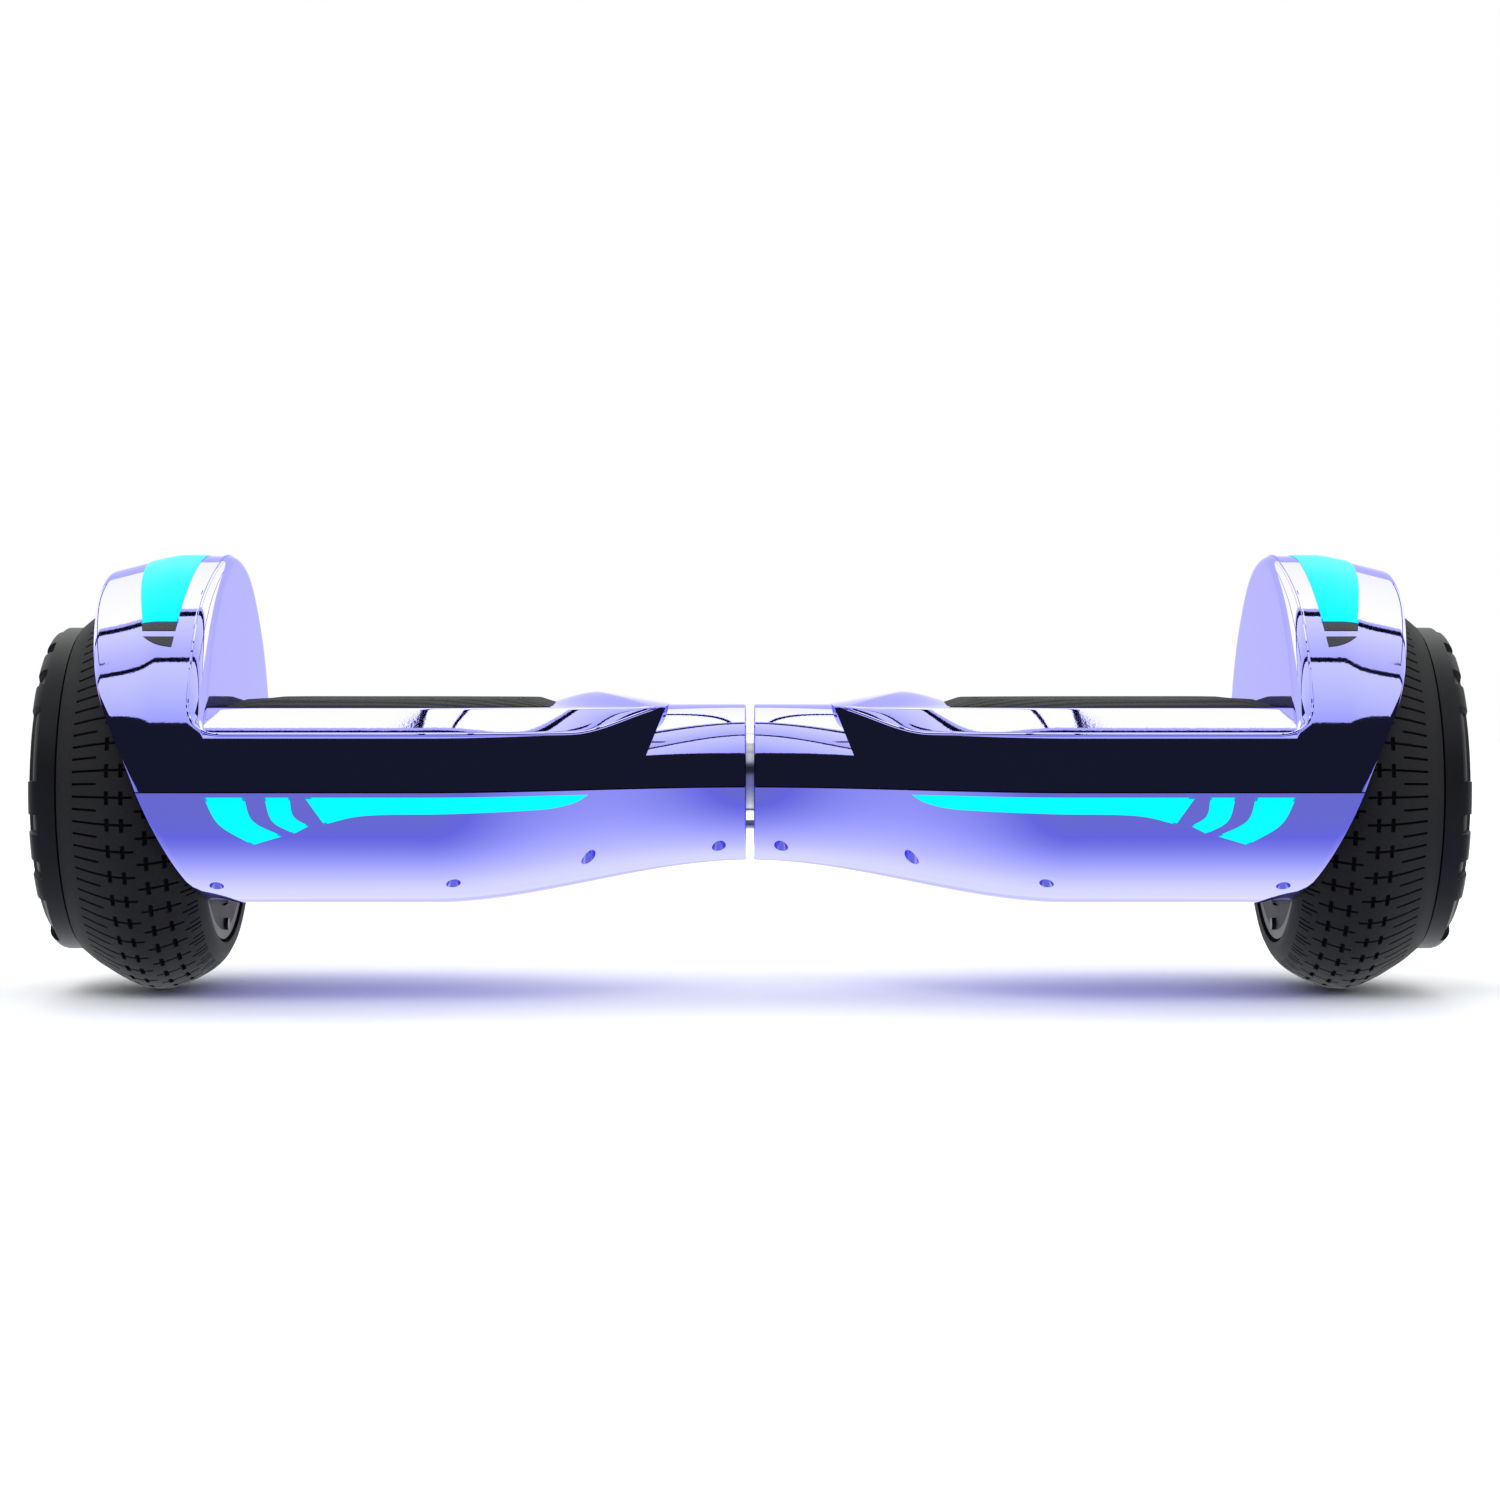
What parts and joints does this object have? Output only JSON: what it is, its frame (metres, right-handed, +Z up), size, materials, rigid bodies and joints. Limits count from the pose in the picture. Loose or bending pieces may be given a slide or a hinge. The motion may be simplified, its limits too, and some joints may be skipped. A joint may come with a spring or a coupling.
{
  "type": "self balancing hoverboard",
  "caption": "Two-wheeled self balancing board: mirror-bright half bodies twist about a central pivot, with hub motor wheels, sprung foot pads and lit lenses.",
  "frame": {"origin": "on the ground, midway between the wheels", "axes": "+X along the wheel axles to the right as seen from the headlight side, -Y towards the headlights, +Z up"},
  "size_m": [0.584, 0.184, 0.1833],
  "materials": {
    "shell": "mirror-bright violet and lavender metallised plating",
    "light_lens": "lit cyan diffuser",
    "circuit_board": "green solder mask",
    "vent_grille": "dark moulded grille",
    "cast_frame": "as-cast aluminium with machined seats",
    "zinc_fastener": "zinc plated",
    "black_screw": "black oxide",
    "ground_steel": "ground bright steel",
    "laminated_steel": "stacked laminations",
    "copper_winding": "enamelled copper wire",
    "cable_sheath": "black sheath",
    "tyre": "solid rubber with fine tread sipes",
    "cast_rim": "dark anodised",
    "magnet": "nickel plated",
    "hub_cover": "dark satin paint",
    "hub_cap": "smooth dark plastic",
    "pad_rubber": "dark grey rubber with grip texture",
    "battery_wrap": "blue wrapped cell pack",
    "socket_plastic": "black nylon",
    "button_plastic": "dark button with a lit ring",
    "cap_rubber": "black rubber"
  },
  "bodies": {
    "left_half": {"left_upper_shell": "shell", "left_lower_shell": "shell", "left_headlight_lens": "light_lens", "left_headlight_board": "circuit_board", "left_fender_light_lens": "light_lens", "left_fender_vents": "vent_grille", "left_chassis": "cast_frame", "left_axle_clamp": "cast_frame", "left_clamp_bolts": "zinc_fastener", "left_gyro_board": "circuit_board", "left_shell_screws": "black_screw", "left_wheel_axle": "ground_steel", "left_stator_core": "laminated_steel", "left_stator_windings": "copper_winding", "left_motor_lead": "cable_sheath", "pivot_shaft": "ground_steel", "limit_pin": "ground_steel", "pivot_circlip": "black_screw", "main_board": "circuit_board", "pivot_wiring": "cable_sheath"},
    "right_half": {"right_upper_shell": "shell", "right_lower_shell": "shell", "right_headlight_lens": "light_lens", "right_headlight_board": "circuit_board", "right_fender_light_lens": "light_lens", "right_fender_vents": "vent_grille", "right_chassis": "cast_frame", "right_axle_clamp": "cast_frame", "right_clamp_bolts": "zinc_fastener", "right_gyro_board": "circuit_board", "right_shell_screws": "black_screw", "right_wheel_axle": "ground_steel", "right_stator_core": "laminated_steel", "right_stator_windings": "copper_winding", "right_motor_lead": "cable_sheath", "pivot_bearings": "ground_steel", "battery_pack": "battery_wrap", "battery_bracket": "zinc_fastener", "charge_socket": "socket_plastic", "button_bezel": "vent_grille"},
    "left_wheel": {"left_tyre": "tyre", "left_rim": "cast_rim", "left_magnets": "magnet", "left_inner_hub_cover": "hub_cover", "left_outer_hub_cover": "hub_cover", "left_hub_cap": "hub_cap", "left_hub_bearings": "ground_steel", "left_hub_screws": "black_screw"},
    "right_wheel": {"right_tyre": "tyre", "right_rim": "cast_rim", "right_magnets": "magnet", "right_inner_hub_cover": "hub_cover", "right_outer_hub_cover": "hub_cover", "right_hub_cap": "hub_cap", "right_hub_bearings": "ground_steel", "right_hub_screws": "black_screw"},
    "left_footpad": {"left_footpad": "pad_rubber"},
    "right_footpad": {"right_footpad": "pad_rubber"},
    "power_button": {"power_button": "button_plastic"},
    "charge_port_cap": {"charge_port_cap": "cap_rubber"}
  },
  "joints": [
    {"name": "pivot_twist", "type": "hinge", "parent": "left_half", "child": "right_half", "pos_m": [0, 0, 0.0915], "axis": [1, 0, 0], "range_deg": [-12, 12]},
    {"name": "left_wheel_spin", "type": "hinge", "parent": "left_half", "child": "left_wheel", "pos_m": [-0.25, 0, 0.085], "axis": [1, 0, 0], "continuous": true},
    {"name": "right_wheel_spin", "type": "hinge", "parent": "right_half", "child": "right_wheel", "pos_m": [0.25, 0, 0.085], "axis": [1, 0, 0], "continuous": true},
    {"name": "left_footpad_press", "type": "slide", "parent": "left_half", "child": "left_footpad", "axis": [0, 0, -1], "range_m": [0, 0.0012], "stiffness_N_per_m": 20000, "springref_m": -0.0005},
    {"name": "right_footpad_press", "type": "slide", "parent": "right_half", "child": "right_footpad", "axis": [0, 0, -1], "range_m": [0, 0.0012], "stiffness_N_per_m": 20000, "springref_m": -0.0005},
    {"name": "power_button_press", "type": "slide", "parent": "right_half", "child": "power_button", "axis": [0, -1, 0], "range_m": [0, 0.0015], "stiffness_N_per_m": 800, "springref_m": -0.0005},
    {"name": "charge_cap_hinge", "type": "hinge", "parent": "right_half", "child": "charge_port_cap", "pos_m": [0.15, 0.0862, 0.0825], "axis": [1, 0, 0], "range_deg": [0, 85]}
  ]
}
